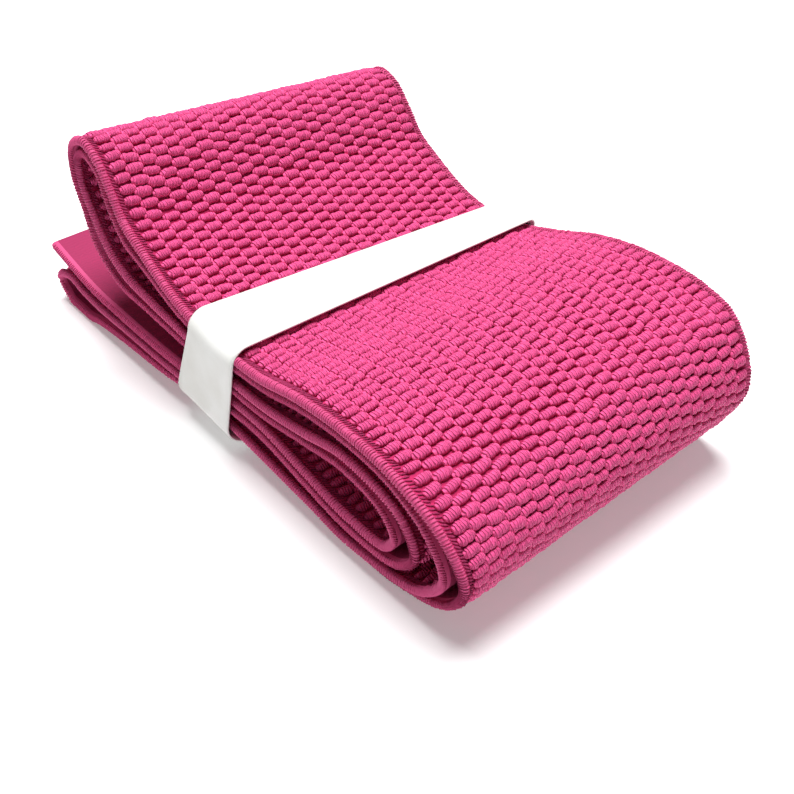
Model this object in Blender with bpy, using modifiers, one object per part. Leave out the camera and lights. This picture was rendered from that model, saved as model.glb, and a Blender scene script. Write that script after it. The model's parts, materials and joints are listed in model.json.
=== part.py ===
"""Roll of elastic: one length of wide ribbed elastic folded into a stack of eight runs, held at its
waist by a paper band. Metres, +Z up, resting on z = 0, the strip's width along Y."""

import math

import bpy
import numpy as np

MM = 0.001

# driving sizes, millimetres
WIDTH = 60.0            # the strip, selvedge to selvedge
THICK = 1.65            # the strip with its ribs, from the plain face out
BAND_THICK = 1.0        # the paper band
CLEAR = 0.45            # between the band and the strip
LONGEST_STEP = 3.5      # along the strip
SETTLE = 0.3           # cloth this near the table lies flat on it
LARGEST_TURN = math.radians(13.0)
SPANS = 4               # across the strip, near selvedge to far
WAIST = (-14.0, -5.0)   # the set-back changes between these two places under the band

# Each run's plain face: its height at the near selvedge, then at the far one, over these places.
PLACES = (-40.0, -30.0, -20.0, -10.0, 0.0, 10.0, 20.0, 30.0, 40.0)
NO = None
RUNS = {
    "A": ((NO, NO, 24.6, 20.3, 18.9, 19.2, 21.4, 22.3, 21.4),
          (NO, NO, 21.5, 17.5, 17.4, 20.3, 24.0, 25.7, 25.3)),
    "B": ((NO, NO, 23.3, 19.75, 18.5, 18.8, 20.9, 21.7, 20.4),
          (NO, NO, 20.8, 17.0, 17.0, 19.8, 23.5, 25.1, 24.2)),
    "C": ((NO, NO, 16.2, 15.3, 14.2, 14.2, 15.7, 17.7, NO),
          (NO, NO, 15.0, 13.2, 13.3, 15.6, 18.5, 20.9, NO)),
    "D": ((NO, NO, 15.1, 14.7, 13.8, 13.8, 15.3, 16.5, NO),
          (NO, NO, 13.9, 12.7, 12.9, 15.1, 18.0, 19.6, NO)),
    "E": ((NO, NO, NO, NO, 9.9, 9.9, 8.2, 6.8, NO),
          (NO, NO, NO, NO, 9.2, 10.7, 9.0, 7.1, NO)),
    "F": ((9.0, 8.7, 8.8, 9.2, 9.4, 9.5, 7.8, 6.35, NO),
          (8.9, 8.2, 8.0, 8.1, 8.8, 10.2, 8.5, 6.6, NO)),
    "G": ((4.7, 4.9, 5.1, 5.4, 4.7, 3.9, 3.05, 2.35, 2.5),
          (4.7, 4.5, 4.3, 4.3, 4.2, 4.0, 3.25, 2.5, NO)),
    "H": ((2.7, 3.9, 4.65, 5.0, 4.3, 3.5, 2.6, 1.65, 1.8),
          (2.7, 3.6, 3.8, 3.8, 3.7, 3.5, 2.6, 1.65, NO)),
}

# Each bend on the right: upper shoulder, tip, lower shoulder, at the near selvedge and at the far one.
BENDS = {
    "inmost": (((37.9, 14.6), (40.6, 11.0), (38.4, 7.6)), ((36.8, 18.0), (39.6, 12.2), (36.6, 7.8))),
    "second": (((41.4, 14.9), (43.5, 11.0), (40.5, 7.6)), ((39.6, 19.4), (42.2, 13.6), (39.2, 7.9))),
    "third": (((46.7, 17.0), (50.3, 11.3), (46.6, 5.7)), ((45.0, 21.6), (47.8, 13.6), (43.8, 5.0))),
    "outmost": (((47.6, 18.3), (52.2, 11.6), (48.4, 5.7)), ((45.5, 23.2), (49.5, 13.8), (45.2, 5.0))),
}

# The tall loop on the left, its outer turn from D to A and its inner turn from B to C.
OUTER_TURN = ((-31.2, 16.3), (-35.2, 19.3), (-37.5, 24.9), (-39.5, 30.3), (-38.6, 35.4),
              (-35.4, 37.2), (-32.0, 35.9), (-28.8, 32.2), (-25.6, 28.0))
INNER_TURN = ((-26.0, 25.7), (-28.9, 29.9), (-31.0, 34.3), (-35.2, 36.6), (-38.4, 34.6),
              (-38.9, 30.3), (-36.2, 24.9), (-32.6, 20.2), (-27.5, 17.3))
FAR_LOOP_HEIGHT = 0.873
FAR_LOOP_SHIFT = 0.5
# The low fold from H to G, and the free end of F.
LOW_FOLD = ((-44.8, 1.75), (-48.6, 1.65), (-52.5, 4.2), (-48.8, 5.9), (-44.5, 5.1))
FREE_END = (((-46.4, 10.1), (-53.0, 11.5)), ((-47.0, 10.6), (-53.2, 12.5)))
HIDDEN_END = ((-4.0, 10.0), (-4.0, 8.9))

# How far each run's near selvedge stands back, left of the waist and right of it.
SET_BACK = {"A": (0.0, 0.0), "B": (0.3, 0.3), "C": (0.2, 0.2), "D": (0.4, 0.3), "E": (0.4, 0.4),
            "F": (0.2, 0.2), "G": (0.4, 0.4), "H": (0.3, 1.7)}

# The band's two long edges at its four corners, going up the near side, over, down and under.
BAND_EDGES = {"near low": (-11.5, 2.2), "near high": (-6.6, 4.9),
              "far high": (-5.0, 4.3), "far low": (-8.5, 4.0)}
BAND_RADIUS = {"near low": 2.0, "near high": 0.9, "far high": 0.9, "far low": 0.9}
BAND_COLUMNS = 4


def clear_objects():
    for old in list(bpy.data.objects):
        bpy.data.objects.remove(old, do_unlink=True)


def make_material(name, colour, roughness):
    material = bpy.data.materials.new(name)
    material.use_nodes = True
    shader = material.node_tree.nodes["Principled BSDF"]
    shader.inputs["Base Color"].default_value = (*colour, 1.0)
    shader.inputs["Roughness"].default_value = roughness
    material.diffuse_color = (*colour, 1.0)
    return material


def smooth(value):
    value = min(max(value, 0.0), 1.0)
    return value * value * (3.0 - 2.0 * value)


def stand_back(run, x):
    left, right = SET_BACK[run]
    return left + (right - left) * smooth((x - WAIST[0]) / (WAIST[1] - WAIST[0]))


def run_points(run, rightwards):
    """Control points of a run as rows of near x, near z, far x, far z, set-back."""
    near, far = RUNS[run]
    rows = []
    for x, low, high in zip(PLACES, near, far):
        if low is None or high is None:
            continue
        rows.append((x, low, x, high, stand_back(run, x)))
    return rows if rightwards else rows[::-1]


def bend_points(bend, upper, lower, downwards):
    near, far = BENDS[bend]
    backs = (stand_back(upper, PLACES[-1]), stand_back(lower, PLACES[-1]))
    rows = []
    for step, (a, b) in enumerate(zip(near, far)):
        share = (step + 0.5) / len(near)
        rows.append((*a, *b, backs[0] + (backs[1] - backs[0]) * share))
    return rows if downwards else rows[::-1]


def loop_points(turn, first, last):
    start, end = stand_back(first, PLACES[0]), stand_back(last, PLACES[0])
    rows = []
    for step, (x, z) in enumerate(turn):
        share = step / (len(turn) - 1.0)
        rows.append((x, z, x + FAR_LOOP_SHIFT, z * FAR_LOOP_HEIGHT, start + (end - start) * share))
    return rows


def fold_points():
    rows = []
    for step, (x, z) in enumerate(LOW_FOLD):
        rows.append((x, z, x + FAR_LOOP_SHIFT, z, stand_back("G", x)))
    return rows


def control_points():
    """The strip's plain face from its hidden end to its free end."""
    (nx, nz), (fx, fz) = HIDDEN_END
    rows = [(nx, nz, fx, fz, stand_back("E", nx))]
    rows += run_points("E", True)
    rows += bend_points("inmost", "D", "E", False)
    rows += run_points("D", False)
    rows += loop_points(OUTER_TURN, "D", "A")
    rows += run_points("A", True)
    rows += bend_points("outmost", "A", "H", True)
    rows += run_points("H", False)
    rows += fold_points()
    rows += run_points("G", True)
    rows += bend_points("third", "B", "G", False)
    rows += run_points("B", False)
    rows += loop_points(INNER_TURN, "B", "C")
    rows += run_points("C", True)
    rows += bend_points("second", "C", "F", True)
    rows += run_points("F", False)
    for (ax, az), (bx, bz) in zip(*FREE_END):
        rows.append((ax, az, bx, bz, stand_back("F", ax)))
    return np.array(rows)


def smooth_path(rows, step=0.25):
    """A dense curve through the control points, each column carried along the near chord."""
    chord = np.hypot(*np.diff((rows[:, 0:2] + rows[:, 2:4]) / 2.0, axis=0).T)
    knots = np.concatenate([[0.0], np.cumsum(chord)])
    slopes = np.empty_like(rows)
    h = np.diff(knots)[:, None]
    pace = np.diff(rows, axis=0) / h
    slopes[1:-1] = (pace[:-1] * h[1:] + pace[1:] * h[:-1]) / (h[1:] + h[:-1])
    slopes[0] = pace[0]
    slopes[-1] = pace[-1]
    out = []
    for i in range(len(rows) - 1):
        count = max(2, int(round(chord[i] / step)))
        for t in np.linspace(0.0, 1.0, count, endpoint=False):
            t2, t3 = t * t, t * t * t
            out.append((2 * t3 - 3 * t2 + 1) * rows[i] + (t3 - 2 * t2 + t) * h[i] * slopes[i]
                       + (3 * t2 - 2 * t3) * rows[i + 1] + (t3 - t2) * h[i] * slopes[i + 1])
    out.append(rows[-1])
    path = np.array(out)
    for column in (1, 3):
        spare = np.maximum(path[:, column] - THICK - SETTLE, 0.0)
        ease = np.minimum(spare, 1.0)
        path[:, column] = THICK + spare + SETTLE * ease * ease * (3.0 - 2.0 * ease)
    return path


def thin_out(path):
    """Keep the points that a faceted strip needs: by length on the runs, by turn in the bends."""
    middle = (path[:, 0:2] + path[:, 2:4]) / 2.0
    kept = [0]
    length = turn = 0.0
    for i in range(1, len(path) - 1):
        back, ahead = middle[i] - middle[i - 1], middle[i + 1] - middle[i]
        length += float(np.hypot(*back))
        cross = back[0] * ahead[1] - back[1] * ahead[0]
        turn += abs(math.atan2(cross, float(np.dot(back, ahead))))
        if length >= LONGEST_STEP or turn >= LARGEST_TURN:
            kept.append(i)
            length = turn = 0.0
    kept.append(len(path) - 1)
    return path[kept]


def strip_point(row, across):
    """A point of the plain face, across = 0 on the near selvedge and 1 on the far one."""
    nx, nz, fx, fz, back = row
    y = -WIDTH / 2.0 + back + across * (WIDTH - back)
    return (nx + (fx - nx) * across, y, nz + (fz - nz) * across)


def solidify(thing, thickness):
    shell = thing.modifiers.new("thickness", "SOLIDIFY")
    shell.thickness = thickness * MM
    shell.offset = 1.0
    shell.use_even_offset = True
    shell.use_quality_normals = True


def make_strip(material):
    rows = thin_out(smooth_path(control_points()))
    mesh = bpy.data.meshes.new("elastic_strip")
    points = []
    faces = []
    for row in rows:
        for j in range(SPANS + 1):
            points.append(tuple(MM * c for c in strip_point(row, j / SPANS)))
    for i in range(len(rows) - 1):
        for j in range(SPANS):
            a = i * (SPANS + 1) + j
            faces.append((a, a + SPANS + 1, a + SPANS + 2, a + 1))
    mesh.from_pydata(points, [], faces)
    mesh.update()
    mesh.materials.append(material)
    strip = bpy.data.objects.new("elastic_strip", mesh)
    solidify(strip, THICK)
    return strip


def face_height(run, x, across):
    """Height of a run's plain face under the band."""
    near, far = RUNS[run]
    places = [p for p, v in zip(PLACES, far) if v is not None]
    low = [v for v, w in zip(near, far) if w is not None]
    high = [w for w in far if w is not None]
    return float(np.interp(x, places, low) * (1.0 - across) + np.interp(x, places, high) * across)


def band_ring():
    """Places round the band: which face or corner, and how far along it."""
    ring = []
    faces = (("near low", "near high", 4), ("near high", "far high", 8),
             ("far high", "far low", 4), ("far low", "near low", 8))
    for start, end, count in faces:
        for k in range(count):
            ring.append((start, end, k / count))
        for k in range(4):
            ring.append((end, end, k / 4.0))
    return ring


def band_point(place, column):
    start, end, along = place
    half = WIDTH / 2.0 + CLEAR
    order = ("near low", "near high", "far high", "far low")
    turned = start == end
    left = BAND_EDGES[start][0] * (1.0 - along) + BAND_EDGES[end][0] * along
    right = BAND_EDGES[start][1] * (1.0 - along) + BAND_EDGES[end][1] * along
    x = left + (right - left) * column

    def top(y):
        return face_height("A", x, (y + WIDTH / 2.0) / WIDTH) + THICK * 1.07 + CLEAR

    def under(y):
        return face_height("H", x, (y + WIDTH / 2.0) / WIDTH) - THICK * 1.03 - CLEAR

    def corner(name, angle):
        radius = BAND_RADIUS[name]
        side = -1.0 if name.startswith("near") else 1.0
        y0 = side * (half - radius)
        edge = side * WIDTH / 2.0
        z0 = top(edge) - radius if name.endswith("high") else under(edge) + radius
        return y0 + radius * math.cos(angle), z0 + radius * math.sin(angle)

    if turned:
        index = order.index(start)
        begin = math.pi * (1.5, 1.0, 0.5, 0.0)[index]
        y, z = corner(start, begin - along * math.pi / 2.0)
        return x, y, z
    leave = {"near low": math.pi, "near high": math.pi / 2.0, "far high": 0.0,
             "far low": -math.pi / 2.0}[start]
    y_a, z_a = corner(start, leave)
    y_b, z_b = corner(end, leave)
    y = y_a + (y_b - y_a) * along
    z = z_a + (z_b - z_a) * along
    if start == "near high":
        z = top(y) + (z_a - top(y_a)) * (1.0 - along) + (z_b - top(y_b)) * along
    if start == "far low":
        z = under(y) + (z_a - under(y_a)) * (1.0 - along) + (z_b - under(y_b)) * along
    return x, y, z


def make_band(material):
    ring = band_ring()
    mesh = bpy.data.meshes.new("paper_band")
    points = []
    faces = []
    for place in ring:
        for k in range(BAND_COLUMNS + 1):
            points.append(tuple(MM * c for c in band_point(place, k / BAND_COLUMNS)))
    size = len(ring)
    for i in range(size):
        for k in range(BAND_COLUMNS):
            a = i * (BAND_COLUMNS + 1) + k
            b = ((i + 1) % size) * (BAND_COLUMNS + 1) + k
            faces.append((a, a + 1, b + 1, b))
    mesh.from_pydata(points, [], faces)
    mesh.update()
    mesh.materials.append(material)
    band = bpy.data.objects.new("paper_band", mesh)
    solidify(band, BAND_THICK)
    return band


def main():
    clear_objects()
    collection = bpy.data.collections.new("roll_of_elastic")
    bpy.context.scene.collection.children.link(collection)
    elastic = make_material("pink_elastic", (0.80, 0.10, 0.28), 0.8)
    paper = make_material("white_paper", (0.88, 0.88, 0.86), 0.9)
    collection.objects.link(make_strip(elastic))
    collection.objects.link(make_band(paper))


main()
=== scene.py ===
# %% [markdown]
# Roll of elastic: one length of wide ribbed elastic, folded back and forth into eight runs and held at
# its waist by a paper band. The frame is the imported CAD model, and every piece made here rides on it.

# %% The frame
import json
import math

import bpy
import numpy as np
from mathutils import Matrix, Vector

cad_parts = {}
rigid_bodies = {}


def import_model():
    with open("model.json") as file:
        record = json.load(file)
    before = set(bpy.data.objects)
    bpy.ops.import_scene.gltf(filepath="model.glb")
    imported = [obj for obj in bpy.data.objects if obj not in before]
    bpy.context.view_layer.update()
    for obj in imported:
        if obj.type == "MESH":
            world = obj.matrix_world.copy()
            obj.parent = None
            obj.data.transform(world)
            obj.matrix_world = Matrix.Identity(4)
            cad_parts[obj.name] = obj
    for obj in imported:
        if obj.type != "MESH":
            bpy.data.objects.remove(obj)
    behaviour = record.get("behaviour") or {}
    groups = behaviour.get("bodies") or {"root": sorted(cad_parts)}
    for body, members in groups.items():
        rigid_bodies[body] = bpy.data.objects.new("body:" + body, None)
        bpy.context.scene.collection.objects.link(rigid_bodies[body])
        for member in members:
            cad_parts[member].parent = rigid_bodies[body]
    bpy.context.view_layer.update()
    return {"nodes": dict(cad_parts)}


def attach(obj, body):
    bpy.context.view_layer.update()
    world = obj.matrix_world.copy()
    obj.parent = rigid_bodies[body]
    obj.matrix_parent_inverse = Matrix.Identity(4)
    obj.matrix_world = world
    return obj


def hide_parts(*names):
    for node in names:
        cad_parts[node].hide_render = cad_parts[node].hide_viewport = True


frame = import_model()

print("frame nodes:", sorted(frame["nodes"]))

# %% [markdown]
# The sizes. Each run of the strip is a row of heights of its plain face, at the near selvedge and at the
# far one. The strip is 60 mm wide and about 0.75 m long, and its ribs stand on the other face.

# %% Sizes, in millimetres
MM = 0.001
WIDTH = 60.0
BODY = 1.15             # the cloth under its ribs
THICK = 1.65            # with its ribs
RIB_PITCH = 1.83        # along the strip, from a rib to the next in line with it
RIB_REPEAT = 5.18       # across the strip
RIB_LONG = 3.05
RIB_WIDE = 1.74
RIB_HIGH = 1.36
GROUND = 0.7            # the ground under the ribs
BORDER = (2.0, 1.35)    # near and far selvedge: cord, then a ladder of small stitches
STITCH_PITCH = 0.44     # along both cords
LADDER_PITCH = 0.5
SETTLE = 0.3           # cloth this near the floor lies flat on it
WAIST = (-14.0, -5.0)
PLACES = (-40.0, -30.0, -20.0, -10.0, 0.0, 10.0, 20.0, 30.0, 40.0)
NO = None
RUNS = {
    "A": ((NO, NO, 24.6, 20.3, 18.9, 19.2, 21.4, 22.3, 21.4),
          (NO, NO, 21.5, 17.5, 17.4, 20.3, 24.0, 25.7, 25.3)),
    "B": ((NO, NO, 23.3, 19.75, 18.5, 18.8, 20.9, 21.7, 20.4),
          (NO, NO, 20.8, 17.0, 17.0, 19.8, 23.5, 25.1, 24.2)),
    "C": ((NO, NO, 16.2, 15.3, 14.2, 14.2, 15.7, 17.7, NO),
          (NO, NO, 15.0, 13.2, 13.3, 15.6, 18.5, 20.9, NO)),
    "D": ((NO, NO, 15.1, 14.7, 13.8, 13.8, 15.3, 16.5, NO),
          (NO, NO, 13.9, 12.7, 12.9, 15.1, 18.0, 19.6, NO)),
    "E": ((NO, NO, NO, NO, 9.9, 9.9, 8.2, 6.8, NO),
          (NO, NO, NO, NO, 9.2, 10.7, 9.0, 7.1, NO)),
    "F": ((9.0, 8.7, 8.8, 9.2, 9.4, 9.5, 7.8, 6.35, NO),
          (8.9, 8.2, 8.0, 8.1, 8.8, 10.2, 8.5, 6.6, NO)),
    "G": ((4.7, 4.9, 5.1, 5.4, 4.7, 3.9, 3.05, 2.35, 2.5),
          (4.7, 4.5, 4.3, 4.3, 4.2, 4.0, 3.25, 2.5, NO)),
    "H": ((2.7, 3.9, 4.65, 5.0, 4.3, 3.5, 2.6, 1.65, 1.8),
          (2.7, 3.6, 3.8, 3.8, 3.7, 3.5, 2.6, 1.65, NO)),
}
BENDS = {
    "inmost": (((37.9, 14.6), (40.6, 11.0), (38.4, 7.6)), ((36.8, 18.0), (39.6, 12.2), (36.6, 7.8))),
    "second": (((41.4, 14.9), (43.5, 11.0), (40.5, 7.6)), ((39.6, 19.4), (42.2, 13.6), (39.2, 7.9))),
    "third": (((46.7, 17.0), (50.3, 11.3), (46.6, 5.7)), ((45.0, 21.6), (47.8, 13.6), (43.8, 5.0))),
    "outmost": (((47.6, 18.3), (52.2, 11.6), (48.4, 5.7)), ((45.5, 23.2), (49.5, 13.8), (45.2, 5.0))),
}
OUTER_TURN = ((-31.2, 16.3), (-35.2, 19.3), (-37.5, 24.9), (-39.5, 30.3), (-38.6, 35.4),
              (-35.4, 37.2), (-32.0, 35.9), (-28.8, 32.2), (-25.6, 28.0))
INNER_TURN = ((-26.0, 25.7), (-28.9, 29.9), (-31.0, 34.3), (-35.2, 36.6), (-38.4, 34.6),
              (-38.9, 30.3), (-36.2, 24.9), (-32.6, 20.2), (-27.5, 17.3))
FAR_LOOP_HEIGHT = 0.873
FAR_LOOP_SHIFT = 0.5
LOW_FOLD = ((-44.8, 1.75), (-48.6, 1.65), (-52.5, 4.2), (-48.8, 5.9), (-44.5, 5.1))
FREE_END = (((-46.4, 10.1), (-53.0, 11.5)), ((-47.0, 10.6), (-53.2, 12.5)))
HIDDEN_END = ((-4.0, 10.0), (-4.0, 8.9))
SET_BACK = {"A": (0.0, 0.0), "B": (0.3, 0.3), "C": (0.2, 0.2), "D": (0.4, 0.3), "E": (0.4, 0.4),
            "F": (0.2, 0.2), "G": (0.4, 0.4), "H": (0.3, 1.7)}

# %% [markdown]
# The path of the plain face. The strip starts hidden beside the band, goes round the bends and loops in
# turn and ends at the free end on the left. A smooth curve through the rows carries five columns: near
# x and z, far x and z, and how far the near selvedge stands back.

# %% The path
def smooth(value):
    value = min(max(value, 0.0), 1.0)
    return value * value * (3.0 - 2.0 * value)


def stand_back(run, x):
    left, right = SET_BACK[run]
    return left + (right - left) * smooth((x - WAIST[0]) / (WAIST[1] - WAIST[0]))


def run_points(run, rightwards):
    near, far = RUNS[run]
    rows = [(x, a, x, b, stand_back(run, x)) for x, a, b in zip(PLACES, near, far)
            if a is not None and b is not None]
    return rows if rightwards else rows[::-1]


def bend_points(bend, upper, lower, downwards):
    near, far = BENDS[bend]
    first, last = stand_back(upper, PLACES[-1]), stand_back(lower, PLACES[-1])
    rows = [(*a, *b, first + (last - first) * (k + 0.5) / len(near))
            for k, (a, b) in enumerate(zip(near, far))]
    return rows if downwards else rows[::-1]


def loop_points(turn, first, last):
    start, end = stand_back(first, PLACES[0]), stand_back(last, PLACES[0])
    return [(x, z, x + FAR_LOOP_SHIFT, z * FAR_LOOP_HEIGHT,
             start + (end - start) * k / (len(turn) - 1.0)) for k, (x, z) in enumerate(turn)]


def control_points():
    (nx, nz), (fx, fz) = HIDDEN_END
    rows = [(nx, nz, fx, fz, stand_back("E", nx))]
    rows += run_points("E", True) + bend_points("inmost", "D", "E", False)
    rows += run_points("D", False) + loop_points(OUTER_TURN, "D", "A")
    rows += run_points("A", True) + bend_points("outmost", "A", "H", True)
    rows += run_points("H", False)
    rows += [(x, z, x + FAR_LOOP_SHIFT, z, stand_back("G", x)) for x, z in LOW_FOLD]
    rows += run_points("G", True) + bend_points("third", "B", "G", False)
    rows += run_points("B", False) + loop_points(INNER_TURN, "B", "C")
    rows += run_points("C", True) + bend_points("second", "C", "F", True)
    rows += run_points("F", False)
    rows += [(ax, az, bx, bz, stand_back("F", ax)) for (ax, az), (bx, bz) in zip(*FREE_END)]
    return np.array(rows)


def smooth_path(rows, step=0.25):
    chord = np.hypot(*np.diff((rows[:, 0:2] + rows[:, 2:4]) / 2.0, axis=0).T)
    h = chord[:, None]
    pace = np.diff(rows, axis=0) / h
    slopes = np.empty_like(rows)
    slopes[1:-1] = (pace[:-1] * h[1:] + pace[1:] * h[:-1]) / (h[1:] + h[:-1])
    slopes[0], slopes[-1] = pace[0], pace[-1]
    out = []
    for i in range(len(rows) - 1):
        count = max(2, int(round(chord[i] / step)))
        for t in np.linspace(0.0, 1.0, count, endpoint=False):
            t2, t3 = t * t, t * t * t
            out.append((2 * t3 - 3 * t2 + 1) * rows[i] + (t3 - 2 * t2 + t) * h[i] * slopes[i]
                       + (3 * t2 - 2 * t3) * rows[i + 1] + (t3 - t2) * h[i] * slopes[i + 1])
    out.append(rows[-1])
    path = np.array(out)
    for column in (1, 3):
        spare = np.maximum(path[:, column] - THICK - SETTLE, 0.0)
        ease = np.minimum(spare, 1.0)
        path[:, column] = THICK + spare + SETTLE * ease * ease * (3.0 - 2.0 * ease)
    return path


PATH = smooth_path(control_points())
MIDDLE = (PATH[:, 0:2] + PATH[:, 2:4]) / 2.0
ALONG = np.concatenate([[0.0], np.cumsum(np.hypot(*np.diff(MIDDLE, axis=0).T))])
LENGTH = float(ALONG[-1])
SLOPE = np.gradient(PATH, ALONG, axis=0)
print(f"strip length {LENGTH:.0f} mm, {len(PATH)} path points")


def place(along, across, lift):
    """Points, and the frame there, of the strip: along and across in mm, lift off the plain face."""
    along, across, lift = np.broadcast_arrays(*(np.asarray(v, float) for v in (along, across, lift)))
    row = [np.interp(along, ALONG, PATH[:, k]) for k in range(5)]
    pace = [np.interp(along, ALONG, SLOPE[:, k]) for k in range(4)]
    share = across / WIDTH
    x = row[0] + (row[2] - row[0]) * share
    z = row[1] + (row[3] - row[1]) * share
    y = -WIDTH / 2.0 + row[4] + share * (WIDTH - row[4])
    tangent = np.stack([pace[0] + (pace[2] - pace[0]) * share, np.zeros_like(x),
                        pace[1] + (pace[3] - pace[1]) * share], -1)
    tangent /= np.linalg.norm(tangent, axis=-1, keepdims=True)
    side = np.stack([row[2] - row[0], WIDTH - row[4], row[3] - row[1]], -1)
    side /= np.linalg.norm(side, axis=-1, keepdims=True)
    normal = np.cross(tangent, side)
    normal /= np.linalg.norm(normal, axis=-1, keepdims=True)
    point = np.stack([x, y, z], -1) + normal * lift[..., None]
    return point, tangent, side, normal


# %% [markdown]
# Materials. The elastic is a matte pink yarn. The ground between the ribs is a deep red of painted shade,
# and fine threads are wound across each rib. A rib carries its own height as an attribute, so that its
# flanks take painted shade and its crown a lighter painted highlight. The band is plain white paper.

# %% Materials
def new_material(name, colour, roughness):
    material = bpy.data.materials.new(name)
    material.use_nodes = True
    shader = material.node_tree.nodes["Principled BSDF"]
    shader.inputs["Base Color"].default_value = (*colour, 1.0)
    shader.inputs["Roughness"].default_value = roughness
    shader.inputs["Specular IOR Level"].default_value = 0.25
    return material, shader


def thread_lines(material, shader, period, direction, strength, depth):
    """Fine raised threads, as bump, in the piece's own UV map, whose unit is a millimetre."""
    tree = material.node_tree
    uv = tree.nodes.new("ShaderNodeUVMap")
    uv.uv_map = "UVMap"
    place_ = tree.nodes.new("ShaderNodeTexCoord")
    drift = tree.nodes.new("ShaderNodeTexNoise")
    drift.inputs["Scale"].default_value = 900.0
    drift.inputs["Detail"].default_value = 2.0
    shift = tree.nodes.new("ShaderNodeVectorMath")
    shift.operation = "MULTIPLY_ADD"
    shift.inputs[1].default_value = (0.6, 0.6, 0.6)
    wave = tree.nodes.new("ShaderNodeTexWave")
    wave.bands_direction = direction
    wave.inputs["Scale"].default_value = math.tau / 20.0 / period
    bump = tree.nodes.new("ShaderNodeBump")
    bump.inputs["Strength"].default_value = strength
    bump.inputs["Distance"].default_value = depth
    tree.links.new(place_.outputs["Object"], drift.inputs["Vector"])
    tree.links.new(drift.outputs["Color"], shift.inputs[0])
    tree.links.new(uv.outputs["UV"], shift.inputs[2])
    tree.links.new(shift.outputs["Vector"], wave.inputs["Vector"])
    tree.links.new(wave.outputs["Fac"], bump.inputs["Height"])
    tree.links.new(bump.outputs["Normal"], shader.inputs["Normal"])
    return wave


def paint_rib_light_and_shade(material, shader, wave, low, high):
    """Painted light on a rib: painted shade on its lower flanks and in the grooves between its threads, a
    lighter painted highlight on its crown.
    """
    tree = material.node_tree
    height = tree.nodes.new("ShaderNodeAttribute")
    height.attribute_name = "crown"
    spread = tree.nodes.new("ShaderNodeMapRange")
    spread.inputs["From Min"].default_value = -0.55
    spread.inputs["From Max"].default_value = 0.35
    lines = tree.nodes.new("ShaderNodeMapRange")
    lines.inputs["To Min"].default_value = 0.75
    both = tree.nodes.new("ShaderNodeMath")
    both.operation = "MULTIPLY"
    # mix: the rib colour goes from painted shade (low) to painted highlight (high) with the rib's height
    # and its threads
    mix = tree.nodes.new("ShaderNodeMix")
    mix.data_type = "RGBA"
    mix.inputs[6].default_value = (*low, 1.0)
    mix.inputs[7].default_value = (*high, 1.0)
    tree.links.new(height.outputs["Fac"], spread.inputs["Value"])
    tree.links.new(wave.outputs["Fac"], lines.inputs["Value"])
    tree.links.new(spread.outputs["Result"], both.inputs[0])
    tree.links.new(lines.outputs["Result"], both.inputs[1])
    tree.links.new(both.outputs["Value"], mix.inputs[0])
    tree.links.new(mix.outputs[2], shader.inputs["Base Color"])


# The ribs' pink carries painted light: lighter crowns as painted highlight, deeper flanks and thread
# grooves as painted shade.
RIB_PINK_PAINTED_LIGHT, rib_shader = new_material("rib_pink_painted_light", (0.80, 0.080, 0.245), 0.55)
rib_wave = thread_lines(RIB_PINK_PAINTED_LIGHT, rib_shader, 0.48, "X", 1.0, 0.00028)
paint_rib_light_and_shade(RIB_PINK_PAINTED_LIGHT, rib_shader, rib_wave, (0.48, 0.006, 0.098), (0.95, 0.108, 0.330))
# The ground under the ribs is painted a deep red as painted shade between the ribs.
GROUND_PAINTED_SHADE, ground_shader = new_material("ground_painted_shade", (0.50, 0.020, 0.115), 0.85)
thread_lines(GROUND_PAINTED_SHADE, ground_shader, 0.5, "Y", 0.35, 0.0001)
# The plain back is a duller pink of its own, darkened further as painted shade.
PLAIN_PINK_PART_SHADE, plain_shader = new_material("plain_pink_part_shade", (0.33, 0.026, 0.098), 0.8)
thread_lines(PLAIN_PINK_PART_SHADE, plain_shader, 0.6, "Y", 0.3, 0.0001)
CORD_PINK, cord_shader = new_material("cord_pink", (0.60, 0.075, 0.215), 0.7)
PAPER, paper_shader = new_material("white_paper", (0.87, 0.87, 0.845), 0.85)
paper_tree = PAPER.node_tree
paper_place = paper_tree.nodes.new("ShaderNodeTexCoord")
smudge = paper_tree.nodes.new("ShaderNodeTexNoise")
smudge.inputs["Scale"].default_value = 110.0
smudge.inputs["Detail"].default_value = 5.0
tone = paper_tree.nodes.new("ShaderNodeMapRange")
tone.inputs["From Min"].default_value = 0.35
tone.inputs["From Max"].default_value = 0.6
paper_mix = paper_tree.nodes.new("ShaderNodeMix")
paper_mix.data_type = "RGBA"
paper_mix.inputs[6].default_value = (0.74, 0.735, 0.70, 1.0)
paper_mix.inputs[7].default_value = (0.83, 0.83, 0.81, 1.0)
crumple = paper_tree.nodes.new("ShaderNodeBump")
crumple.inputs["Strength"].default_value = 0.25
crumple.inputs["Distance"].default_value = 0.0006
paper_tree.links.new(paper_place.outputs["Object"], smudge.inputs["Vector"])
paper_tree.links.new(smudge.outputs["Fac"], tone.inputs["Value"])
paper_tree.links.new(tone.outputs["Result"], paper_mix.inputs[0])
paper_tree.links.new(paper_mix.outputs[2], paper_shader.inputs["Base Color"])
paper_tree.links.new(smudge.outputs["Fac"], crumple.inputs["Height"])
paper_tree.links.new(crumple.outputs["Normal"], paper_shader.inputs["Normal"])

# %% [markdown]
# The cloth itself is one closed thin sheet swept along the path. Its section has a rounded cord at each
# selvedge, a narrow flat border, then the ground that the ribs stand on. Its faces take the plain pink,
# partly darkened as painted shade, on the back, the cord's pink at the selvedges and the deep red of
# painted shade on the ground under the ribs.

# %% The strip's ground
CORD_SIDE = [(0.0, 0.62), (0.07, 0.95), (0.27, 1.18), (0.55, 1.27), (0.85, 1.16), (1.05, 0.92)]
CORD_BACK = [(0.08, 0.28), (0.45, 0.04), (1.1, 0.0)]


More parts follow.
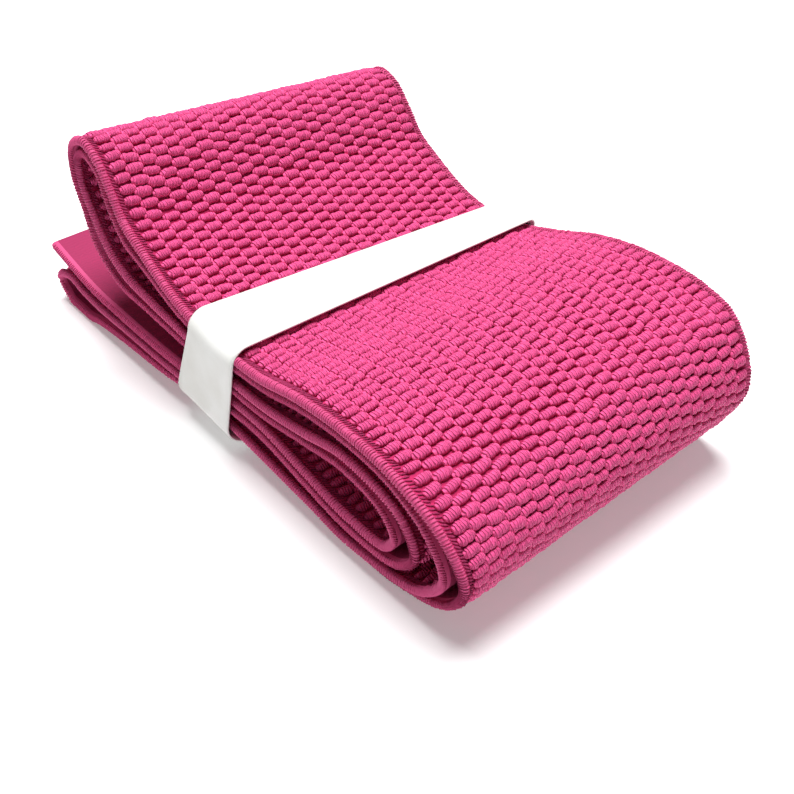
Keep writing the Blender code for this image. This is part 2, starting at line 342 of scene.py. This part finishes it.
def section():
    """The cloth's section as (across, lift), up the ribbed side and back along the plain side."""
    left = CORD_SIDE + [(1.4, 0.86), (BORDER[0] - 0.2, 0.86), (BORDER[0] + 0.1, GROUND)]
    middle = [(v, GROUND) for v in np.linspace(6.0, WIDTH - 6.0, 9)]
    right = [(WIDTH - BORDER[1] - 0.1, GROUND), (WIDTH - BORDER[1] + 0.1, 0.86)]
    right += [(WIDTH - v, w) for v, w in CORD_SIDE[::-1]]
    plain = [(v, 0.0) for v in np.linspace(WIDTH - 6.0, 6.0, 5)]
    return left + middle + right + [(WIDTH - v, w) for v, w in CORD_BACK] + plain + CORD_BACK[::-1]


def quads_to_object(name, points, faces, uvs, materials):
    mesh = bpy.data.meshes.new(name)
    mesh.from_pydata([tuple(p) for p in points], [], faces)
    layer = mesh.uv_layers.new(name="UVMap")
    index = np.empty(len(mesh.loops), int)
    mesh.loops.foreach_get("vertex_index", index)
    layer.data.foreach_set("uv", np.asarray(uvs, float)[index].ravel())
    for material in materials:
        mesh.materials.append(material)
    mesh.shade_smooth()
    thing = bpy.data.objects.new(name, mesh)
    bpy.context.scene.collection.objects.link(thing)
    return thing


def make_ground(step):
    ring = np.array(section())
    rows = int(LENGTH / step) + 1
    s = np.linspace(0.0, LENGTH, rows)
    grid, _, _, _ = place(s[:, None], ring[None, :, 0], ring[None, :, 1])
    count = len(ring)
    faces, paints = [], []
    for i in range(rows - 1):
        for j in range(count):
            k = (j + 1) % count
            faces.append((i * count + j, i * count + k, (i + 1) * count + k, (i + 1) * count + j))
            across = (ring[j, 0] + ring[k, 0]) / 2.0
            corded = min(across, WIDTH - across) < 1.05
            # Faces: 0 the ground in its painted-shade red, 1 the plain back with its partial painted
            # shade, 2 the cord's pink.
            paints.append(2 if corded else 1 if max(ring[j, 1], ring[k, 1]) < 0.1 else 0)
    faces.append(tuple(range(count - 1, -1, -1)))
    faces.append(tuple((rows - 1) * count + j for j in range(count)))
    uvs = np.stack(np.broadcast_arrays(ring[None, :, 0], s[:, None]), -1).reshape(-1, 2)
    made = quads_to_object("elastic_cloth", grid.reshape(-1, 3) * MM, faces, uvs,
                           (GROUND_PAINTED_SHADE, PLAIN_PINK_PART_SHADE, CORD_PINK))
    made.data.polygons.foreach_set("material_index", paints + [1, 1])
    return made


cloth = make_ground(0.9)
print("cloth faces:", len(cloth.data.polygons))

# %% [markdown]
# The ribs are small plump bars lying across the strip, laid like bricks. Three slightly different bars
# are modelled, blunt at both ends and a little pinched along their length. Geometry Nodes sets one at
# each point, with the point's own turn and size, and the result becomes one plain mesh.

# %% Bars and the tool that copies them
def make_bar(name, rings, sides, pinches, group, materials, blunt=3.4):
    """A plump closed bar one unit long, lying along X."""
    points, faces, uvs, crowns = [], [], [], []
    for i in range(rings + 1):
        t = -1.0 + 2.0 * i / rings
        x = 0.5 * math.copysign(abs(t) ** 0.8, t)
        girth = max(0.2, 1.0 - abs(2.0 * x) ** blunt) ** 0.5
        for spot, amount in pinches:
            girth *= 1.0 - amount * math.exp(-((x - spot) / 0.09) ** 2)
        for j in range(sides):
            a = math.tau * j / sides
            points.append((x, 0.5 * girth * math.cos(a), 0.5 * girth * math.sin(a)))
            uvs.append((x * RIB_LONG, j * 0.2))
            crowns.append(math.sin(a) * girth)
    for i in range(rings):
        for j in range(sides):
            k = (j + 1) % sides
            faces.append((i * sides + j, i * sides + k, (i + 1) * sides + k, (i + 1) * sides + j))
    faces.append(tuple(range(sides - 1, -1, -1)))
    faces.append(tuple(rings * sides + j for j in range(sides)))
    bar = quads_to_object(name, points, faces, uvs, materials)
    # crown: the height on the bar's section, which sets the painted highlight and painted shade of the
    # rib colour
    bar.data.attributes.new("crown", "FLOAT", "POINT").data.foreach_set("value", crowns)
    bpy.context.scene.collection.objects.unlink(bar)
    group.objects.link(bar)
    return bar


def copying_tree(material):
    """Geometry Nodes: one bar of the group at each point, by the point's kind, turn and size."""
    tree = bpy.data.node_groups.new("copy bars", "GeometryNodeTree")
    tree.interface.new_socket("Geometry", in_out="INPUT", socket_type="NodeSocketGeometry")
    socket = tree.interface.new_socket("Bars", in_out="INPUT", socket_type="NodeSocketCollection")
    tree.interface.new_socket("Geometry", in_out="OUTPUT", socket_type="NodeSocketGeometry")
    nodes, link = tree.nodes, tree.links.new

    def named(name, kind):
        node = nodes.new("GeometryNodeInputNamedAttribute")
        node.data_type = kind
        node.inputs["Name"].default_value = name
        return node.outputs["Attribute"]

    start, end = nodes.new("NodeGroupInput"), nodes.new("NodeGroupOutput")
    group = nodes.new("GeometryNodeCollectionInfo")
    group.inputs["Separate Children"].default_value = True
    group.inputs["Reset Children"].default_value = True
    copy = nodes.new("GeometryNodeInstanceOnPoints")
    copy.inputs["Pick Instance"].default_value = True
    real = nodes.new("GeometryNodeRealizeInstances")
    paint = nodes.new("GeometryNodeSetMaterial")
    paint.inputs["Material"].default_value = material
    link(start.outputs["Bars"], group.inputs["Collection"])
    link(start.outputs["Geometry"], copy.inputs["Points"])
    link(group.outputs["Instances"], copy.inputs["Instance"])
    link(named("kind", "INT"), copy.inputs["Instance Index"])
    link(named("turn", "FLOAT_VECTOR"), copy.inputs["Rotation"])
    link(named("size", "FLOAT_VECTOR"), copy.inputs["Scale"])
    link(copy.outputs["Instances"], real.inputs["Geometry"])
    link(real.outputs["Geometry"], paint.inputs["Geometry"])
    link(paint.outputs["Geometry"], end.inputs["Geometry"])
    return tree, socket.identifier


def turn_of(across, up):
    """Euler turn whose X lies along across and whose Z is close to up."""
    ahead = Vector(up).cross(Vector(across)).normalized()
    real_up = Vector(across).normalized().cross(ahead)
    return tuple(Matrix((Vector(across).normalized(), ahead, real_up)).transposed().to_euler())


def copies(name, group, points, turns, sizes, kinds, material):
    mesh = bpy.data.meshes.new(name + "_points")
    mesh.from_pydata([tuple(p) for p in points], [], [])
    mesh.attributes.new("turn", "FLOAT_VECTOR", "POINT").data.foreach_set("vector", np.ravel(turns))
    mesh.attributes.new("size", "FLOAT_VECTOR", "POINT").data.foreach_set("vector", np.ravel(sizes))
    mesh.attributes.new("kind", "INT", "POINT").data.foreach_set("value", np.ravel(kinds))
    carrier = bpy.data.objects.new(name + "_points", mesh)
    bpy.context.scene.collection.objects.link(carrier)
    tree, socket = copying_tree(material)
    grow = carrier.modifiers.new("bars", "NODES")
    grow.node_group = tree
    grow[socket] = group
    bpy.context.view_layer.update()
    done = carrier.evaluated_get(bpy.context.evaluated_depsgraph_get())
    made = bpy.data.meshes.new_from_object(done)
    made.name = name
    made.shade_smooth()
    for extra in ("turn", "size", "kind"):
        if extra in made.attributes:
            made.attributes.remove(made.attributes[extra])
    thing = bpy.data.objects.new(name, made)
    bpy.context.scene.collection.objects.link(thing)
    bpy.data.objects.remove(carrier, do_unlink=True)
    print(name, len(points), "copies,", sum(len(p.vertices) - 2 for p in made.polygons), "triangles")
    return thing


def empty_group(name):
    group = bpy.data.collections.new(name)
    return group


# %% Ribs
RIB_TOPS = place(ALONG, WIDTH / 2.0, THICK)[0]
RIBBED = np.concatenate([[0.0], np.cumsum(np.linalg.norm(np.diff(RIB_TOPS, axis=0), axis=1))])


def rib_rows(start, end):
    """Bars between two places along the strip: along, across, length, tilt, plumpness, kind."""
    rng = np.random.default_rng(11)
    rows = []
    for i in range(int(RIBBED[-1] / (RIB_PITCH / 2.0))):
        s = np.interp((i + 0.5) * RIB_PITCH / 2.0, RIBBED, ALONG)
        first = BORDER[0] - RIB_LONG / 2.0 + (0.5 * RIB_REPEAT if i % 2 else 0.0)
        for v in np.arange(first, WIDTH, RIB_REPEAT):
            wobble = rng.normal(size=4)
            kind = int(rng.integers(3))
            low = max(v - RIB_LONG / 2.0, BORDER[0] - 0.1)
            high = min(v + RIB_LONG / 2.0, WIDTH - BORDER[1] + 0.1)
            if start <= s < end and high - low > 1.1:
                rows.append((s + 0.05 * wobble[0], (low + high) / 2.0 + 0.08 * wobble[1],
                             high - low, 0.06 * wobble[2], 1.0 + 0.06 * wobble[3], kind))
    return np.array(rows)


def make_ribs(name, group, rows):
    point, tangent, side, normal = place(rows[:, 0], rows[:, 1], THICK - RIB_HIGH / 2.0)
    turns = [turn_of(c * math.cos(tilt) + t * math.sin(tilt), n)
             for t, c, n, tilt in zip(tangent, side, normal, rows[:, 3])]
    sizes = [(long * MM, RIB_WIDE * plump * MM, RIB_HIGH * plump * MM)
             for long, plump in zip(rows[:, 2], rows[:, 4])]
    return copies(name, group, point * MM, turns, sizes, rows[:, 5].astype(int), RIB_PINK_PAINTED_LIGHT)


PINCHES = (((-0.05, 0.2),), ((0.12, 0.18), (-0.25, 0.1)), ((-0.18, 0.14), (0.2, 0.12)))
fine_bars, plain_bars = empty_group("fine bars"), empty_group("plain bars")
for k, pinches in enumerate(PINCHES):
    make_bar(f"fine_bar_{k}", 9, 8, pinches, fine_bars, (RIB_PINK_PAINTED_LIGHT,))
    make_bar(f"plain_bar_{k}", 4, 4, pinches, plain_bars, (RIB_PINK_PAINTED_LIGHT,))
STRETCHES = (("ribs_inside_first", 0.0, 0.165, plain_bars), ("ribs_on_top_left", 0.165, 0.265, fine_bars),
             ("ribs_on_top_right", 0.265, 0.365, fine_bars), ("ribs_below", 0.365, 0.64, plain_bars),
             ("ribs_inside_last", 0.64, 1.0, plain_bars))
ribs = [make_ribs(name, group, rib_rows(first * LENGTH, last * LENGTH))
        for name, first, last, group in STRETCHES]

# %% [markdown]
# Each selvedge is whipped: a thread goes round the cord again and again, a little slanted. Beside the
# cord runs a ladder of small stitches, which closes the weave before the first ribs.

# %% Selvedge stitches
def make_hook(name, group, turns_, sides, radius):
    """A short thread bent round the cord's outer side, made in the cord's own section plane, YZ."""
    path_ = [(0.42, 0.0), (0.02, 0.25), (-0.05, 0.62), (0.12, 1.08), (0.52, 1.33), (0.95, 1.15)][:turns_]
    points, faces, uvs = [], [], []
    for i, (v, w) in enumerate(path_):
        a, b = path_[max(i - 1, 0)], path_[min(i + 1, len(path_) - 1)]
        way = Vector((b[0] - a[0], b[1] - a[1])).normalized()
        out = Vector((-way.y, way.x))
        slant = (i / (len(path_) - 1.0) - 0.5) * 0.36
        for j in range(sides):
            c = math.tau * j / sides
            r = radius * (0.75 if i in (0, len(path_) - 1) else 1.0)
            points.append((slant + r * math.cos(c), v + out.x * r * math.sin(c),
                           w + out.y * r * math.sin(c)))
            uvs.append((i * 0.4, j * 0.15))
    for i in range(len(path_) - 1):
        for j in range(sides):
            k = (j + 1) % sides
            faces.append((i * sides + j, i * sides + k, (i + 1) * sides + k, (i + 1) * sides + j))
    faces.append(tuple(range(sides - 1, -1, -1)))
    faces.append(tuple((len(path_) - 1) * sides + j for j in range(sides)))
    hook = quads_to_object(name, points, faces, uvs, (CORD_PINK,))
    bpy.context.scene.collection.objects.unlink(hook)
    group.objects.link(hook)
    return hook


def make_whipping(name, far):
    rng = np.random.default_rng(5 if far else 3)
    s = np.arange(0.4, LENGTH - 0.3, STITCH_PITCH)
    s = s + rng.normal(size=len(s)) * 0.04
    point, tangent, side, normal = place(s, np.full(len(s), WIDTH if far else 0.0), 0.0)
    turns, sizes = [], []
    for t, c, n in zip(tangent, side, normal):
        if far:
            c = -c
        ahead = Vector(c).cross(Vector(n)).normalized()
        turns.append(tuple(Matrix((ahead, Vector(c), Vector(n))).transposed().to_euler()))
        sizes.append((MM, MM, MM * (1.0 + 0.03 * rng.normal())))
    kinds = np.zeros(len(s), int)
    return copies(name, hooks, point * MM, turns, sizes, kinds, CORD_PINK)


def make_ladder(name, far):
    rng = np.random.default_rng(9 if far else 7)
    s = np.arange(0.5, LENGTH - 0.5, LADDER_PITCH)
    width = BORDER[1 if far else 0]
    middle = (1.1 + width) / 2.0
    across = np.full(len(s), WIDTH - middle if far else middle) + rng.normal(size=len(s)) * 0.03
    point, tangent, side, normal = place(s, across, 0.94)
    turns = [turn_of(c * 0.86 + t * 0.5 * (1.0 + 0.3 * rng.normal()), n)
             for t, c, n in zip(tangent, side, normal)]
    size = ((width - 0.95) * MM, 0.30 * MM, 0.34 * MM)
    return copies(name, small_bars, point * MM, turns, [size] * len(s), np.zeros(len(s), int), RIB_PINK_PAINTED_LIGHT)


hooks, small_bars = empty_group("hooks"), empty_group("small bars")
make_hook("hook", hooks, 6, 3, 0.17)
make_bar("small_bar", 3, 4, (), small_bars, (RIB_PINK_PAINTED_LIGHT,), blunt=3.0)
selvedges = [make_whipping("whipping_near", False), make_whipping("whipping_far", True),
             make_ladder("ladder_near", False), make_ladder("ladder_far", True)]
for group in (fine_bars, plain_bars, hooks, small_bars):
    for model in list(group.objects):
        bpy.data.objects.remove(model, do_unlink=True)
    bpy.data.collections.remove(group)

# %% [markdown]
# The paper band goes once round the waist, close to the cloth, with softly rounded corners.

# %% The band
BAND_EDGES = {"near low": (-11.5, 2.2), "near high": (-6.6, 4.9),
              "far high": (-5.0, 4.3), "far low": (-8.5, 4.0)}
BAND_RADIUS = {"near low": 3.4, "near high": 2.8, "far high": 0.9, "far low": 0.9}
BAND_CLEAR = 0.35
PAPER_THICK = 0.25
CORNERS = tuple(BAND_EDGES)


def face_height(run, x, y):
    near, far = RUNS[run]
    share = (y + WIDTH / 2.0) / WIDTH
    pairs = [(p, a, b) for p, a, b in zip(PLACES, near, far) if a is not None and b is not None]
    places, low, high = zip(*pairs)
    return float(np.interp(x, places, low) * (1.0 - share) + np.interp(x, places, high) * share)


def band_point(start, end, along, column):
    left = BAND_EDGES[start][0] * (1.0 - along) + BAND_EDGES[end][0] * along
    right = BAND_EDGES[start][1] * (1.0 - along) + BAND_EDGES[end][1] * along
    x = left + (right - left) * column

    def top(y):
        return face_height("A", x, y) + THICK * 1.07 + BAND_CLEAR

    def under(y):
        return face_height("H", x, y) - THICK * 1.03 - BAND_CLEAR

    def corner(name, angle):
        radius = BAND_RADIUS[name]
        side = -1.0 if name.startswith("near") else 1.0
        edge = side * WIDTH / 2.0
        z0 = top(edge) - radius if name.endswith("high") else under(edge) + radius
        y0 = side * (WIDTH / 2.0 + BAND_CLEAR - radius)
        return y0 + radius * math.cos(angle), z0 + radius * math.sin(angle)

    if start == end:
        begin = math.pi * (1.5, 1.0, 0.5, 0.0)[CORNERS.index(start)]
        return (x, *corner(start, begin - along * math.pi / 2.0))
    leave = math.pi * (1.0, 0.5, 0.0, -0.5)[CORNERS.index(start)]
    ya, za = corner(start, leave)
    yb, zb = corner(end, leave)
    y = ya + (yb - ya) * along
    z = za + (zb - za) * along
    if start == "near high":
        z = top(y) + (za - top(ya)) * (1.0 - along) + (zb - top(yb)) * along
    if start == "far low":
        z = under(y) + (za - under(ya)) * (1.0 - along) + (zb - under(yb)) * along
    return (x, y, z)


def make_band():
    ring = []
    for start, end in zip(CORNERS, CORNERS[1:] + CORNERS[:1]):
        ring += [(start, end, k / 16.0) for k in range(16)]
        ring += [(end, end, k / 8.0) for k in range(8)]
    columns = 12
    points = [tuple(MM * c for c in band_point(*place_, k / columns)) for place_ in ring
              for k in range(columns + 1)]
    uvs = [(k, i) for i in range(len(ring)) for k in range(columns + 1)]
    faces = []
    for i in range(len(ring)):
        for k in range(columns):
            a = i * (columns + 1) + k
            b = ((i + 1) % len(ring)) * (columns + 1) + k
            faces.append((a, a + 1, b + 1, b))
    band = quads_to_object("band_of_paper", points, faces, uvs, (PAPER,))
    shell = band.modifiers.new("thickness", "SOLIDIFY")
    shell.thickness = PAPER_THICK * MM
    shell.offset = 1.0
    shell.use_even_offset = True
    return band


band = make_band()

# %% [markdown]
# Every piece rides on the one body and stands for its CAD node.

# %% Riding on the frame
for piece in [cloth] + ribs + selvedges:
    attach(piece, "root")
    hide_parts("elastic_strip")
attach(band, "root")
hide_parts("paper_band")

# %% [markdown]
# A pale floor, soft studio light from above and the left, and the camera.

# %% Stage and camera
floor_mesh = bpy.data.meshes.new("floor")
floor_mesh.from_pydata([(-3, -3, 0), (3, -3, 0), (3, 3, 0), (-3, 3, 0)], [], [(0, 1, 2, 3)])
FLOOR, floor_shader = new_material("floor", (0.76, 0.76, 0.76), 0.9)
floor_shader.inputs["Emission Color"].default_value = (1.0, 1.0, 1.0, 1.0)
floor_shader.inputs["Emission Strength"].default_value = 0.26
floor_mesh.materials.append(FLOOR)
floor = bpy.data.objects.new("floor", floor_mesh)
bpy.context.scene.collection.objects.link(floor)

world = bpy.data.worlds.new("studio")
world.use_nodes = True
world.node_tree.nodes["Background"].inputs["Color"].default_value = (1.0, 1.0, 1.0, 1.0)
world.node_tree.nodes["Background"].inputs["Strength"].default_value = 0.18
bpy.context.scene.world = world


def area_light(name, place_, aim, size, watts):
    light = bpy.data.lights.new(name, "AREA")
    light.shape = "DISK"
    light.size = size
    light.energy = watts
    lamp = bpy.data.objects.new(name, light)
    lamp.location = place_
    lamp.rotation_euler = (Vector(aim) - Vector(place_)).to_track_quat("-Z", "Y").to_euler()
    bpy.context.scene.collection.objects.link(lamp)


area_light("overhead", (-0.12, 0.10, 1.0), (0.0, 0.0, 0.0), 0.7, 19.0)

camera_data = bpy.data.cameras.new("camera")
camera_data.lens = 57.13
camera_data.clip_start = 0.01
camera = bpy.data.objects.new("camera", camera_data)
eye = Vector((0.12917, -0.10502, 0.12817))
target = Vector((0.0055, 0.0, -0.001275))
back = (eye - target).normalized()
right = Vector((-0.0219, 0.0, 0.99976)).cross(back).normalized()
up = back.cross(right)
camera.matrix_world = Matrix.Translation(eye) @ Matrix((right, up, back)).transposed().to_4x4()
bpy.context.scene.collection.objects.link(camera)
bpy.context.scene.camera = camera
bpy.context.scene.view_settings.view_transform = "Standard"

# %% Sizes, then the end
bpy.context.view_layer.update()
made = [piece for piece in bpy.context.scene.objects if piece.type == "MESH"]
print("triangles in all:", sum(len(p.vertices) - 2 for piece in made for p in piece.data.polygons))
